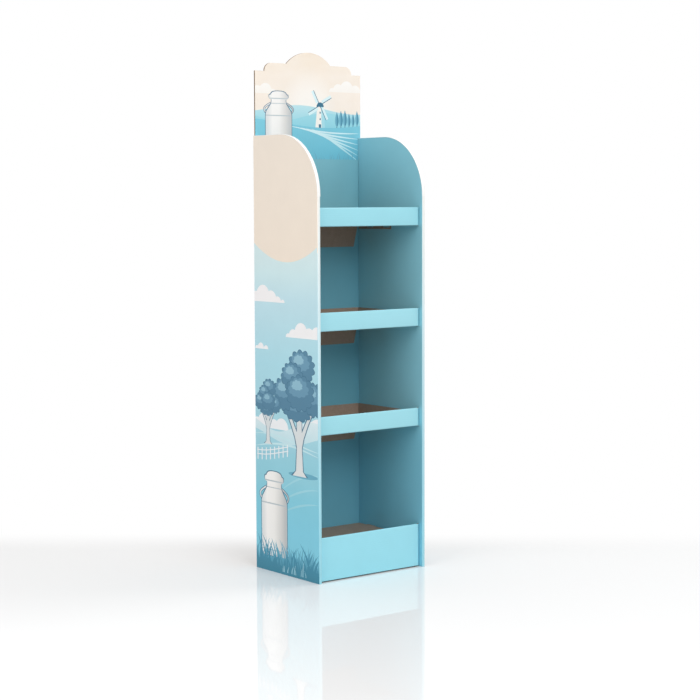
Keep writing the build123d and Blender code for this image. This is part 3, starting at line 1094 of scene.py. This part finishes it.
def lapped(start, end, middles, upper):
    """A rib with half-lap slots at its middles, cut from its upper or lower edge."""
    slots = [middle + side * lap_half for middle in middles for side in (-1, 1)]

    def kept(stop, z):
        return not (upper == (z > rib_top / 2) and any(abs(stop - middle) < lap_half for middle in middles))

    return corrugated(folded_line([start, end]), upright, [0.0, rib_top / 2, rib_top], plain, slots, kept)


long_laps = [side * rib_x - long_low.x for side in (-1, 1)]
rib_long = make_piece("kraft_rib_long",
                      lapped((long_low.x, long_low.y), (long_high.x, long_low.y), long_laps, True))
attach(rib_long, "root")
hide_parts("base_rib_long")
cross = lapped((cross_high.x, cross_low.y), (cross_high.x, cross_high.y), [-cross_low.y], False)
for side, solids in (("right", cross), ("left", mirrored(cross))):
    rib = make_piece("kraft_rib_" + side, solids)
    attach(rib, "root")
    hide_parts("base_rib_" + side)


# Studio
# A plain pale floor with a faint mirror, soft even light from the front and above, and the camera
# at the photograph's angle. None of it is part of the stand.

floor_reach, floor_drop = 14.0, 0.0002
bounce_grey, floor_grey, floor_glow = 0.55, 0.92, 0.05
mirror_blur, mirror_index = 0.02, 1.55
backdrop_way, backdrop_start, backdrop_white = (0.63, 0.776, 0.0), 0.24, 0.58
white_start, all_white = 1.0, 3.0
floor_mesh = bpy.data.meshes.new("studio_floor")
floor_mesh.from_pydata([(x * floor_reach, y * floor_reach, -floor_drop)
                        for x, y in ((-1, -1), (1, -1), (1, 1), (-1, 1))], [], [(0, 1, 2, 3)])
floor = bpy.data.objects.new("studio_floor", floor_mesh)
bpy.context.collection.objects.link(floor)

floor_look = bpy.data.materials.new("studio floor")
floor_look.use_nodes = True
tree = floor_look.node_tree
tree.nodes.remove(tree.nodes["Principled BSDF"])
ray = tree.nodes.new("ShaderNodeLightPath").outputs
here = tree.nodes.new("ShaderNodeTexCoord").outputs["Object"]
matt = node(tree, "ShaderNodeBsdfDiffuse", {"Color": [bounce_grey] * 3 + [1.0]}).outputs[0]
pale = node(tree, "ShaderNodeBsdfDiffuse", {"Color": [floor_grey] * 3 + [1.0]}).outputs[0]
lift = node(tree, "ShaderNodeEmission", {"Strength": floor_glow}).outputs[0]
near = node(tree, "ShaderNodeAddShader", {0: pale, 1: lift}).outputs[0]
polish = node(tree, "ShaderNodeBsdfGlossy", {"Roughness": mirror_blur}).outputs[0]
sheen = node(tree, "ShaderNodeFresnel", {"IOR": mirror_index}).outputs[0]
polished = node(tree, "ShaderNodeMixShader", {"Fac": sheen, 1: near, 2: polish}).outputs[0]
away = node(tree, "ShaderNodeVectorMath", {0: here}, operation="LENGTH")
away = spread(tree, away.outputs["Value"], white_start, all_white, blend="SMOOTHSTEP")
behind = node(tree, "ShaderNodeVectorMath", {0: here, 1: backdrop_way}, operation="DOT_PRODUCT")
behind = spread(tree, behind.outputs["Value"], backdrop_start, backdrop_white, blend="SMOOTHSTEP")
far = maths(tree, "MAXIMUM", away, behind)
white = node(tree, "ShaderNodeEmission", {"Strength": 1.0}).outputs[0]
seen = node(tree, "ShaderNodeMixShader", {"Fac": far, 1: polished, 2: white}).outputs[0]
mixed = node(tree, "ShaderNodeMixShader", {"Fac": ray["Is Camera Ray"], 1: matt, 2: seen}).outputs[0]
tree.links.new(mixed, tree.nodes["Material Output"].inputs["Surface"])
floor_mesh.materials.append(floor_look)

room_light, seen_white = 0.6, 1.0
world = bpy.data.worlds.new("studio")
bpy.context.scene.world = world
world.use_nodes = True
tree = world.node_tree
ray = tree.nodes.new("ShaderNodeLightPath").outputs
clear = maths(tree, "MAXIMUM", ray["Is Camera Ray"], ray["Is Glossy Ray"])
clear = maths(tree, "MAXIMUM", clear, ray["Is Transmission Ray"])
tree.nodes["Background"].inputs["Color"].default_value = (1.0, 1.0, 1.0, 1.0)
tree.links.new(spread(tree, clear, 0.0, 1.0, room_light, seen_white),
               tree.nodes["Background"].inputs["Strength"])

middle = Vector((0.0, 0.0, 0.7))
for name, place, size, watts in (
    ("front softbox", (-0.8, -5.0, 4.0), 3.4, 138.0),
    ("left softbox", (-3.4, -0.6, 1.8), 2.4, 46.0),
    ("right top softbox", (2.6, -0.8, 3.4), 2.0, 40.0),
):
    lamp = bpy.data.lights.new(name, "AREA")
    lamp.shape, lamp.size, lamp.energy = "SQUARE", size, watts
    holder = bpy.data.objects.new(name, lamp)
    holder.location = place
    holder.rotation_euler = (middle - Vector(place)).to_track_quat("-Z", "Y").to_euler()
    bpy.context.collection.objects.link(holder)

camera_place = Vector((-3.34816, -4.32921, 1.15785))
camera_heading, camera_tilt, camera_roll = math.radians(51.953), math.radians(-4.884), math.radians(0.204)
camera_lens, sensor_width = 89.9, 36.0
ahead = Vector((math.cos(camera_tilt) * math.cos(camera_heading),
                math.cos(camera_tilt) * math.sin(camera_heading), math.sin(camera_tilt)))
camera = bpy.data.objects.new("camera", bpy.data.cameras.new("camera"))
camera.data.lens, camera.data.sensor_width = camera_lens, sensor_width
camera.location = camera_place
camera.rotation_mode = "QUATERNION"
camera.rotation_quaternion = (Matrix.Rotation(camera_roll, 3, ahead)
                              @ ahead.to_track_quat("-Z", "Y").to_matrix()).to_quaternion()
bpy.context.collection.objects.link(camera)
bpy.context.scene.camera = camera
bpy.context.scene.view_settings.view_transform = "Standard"
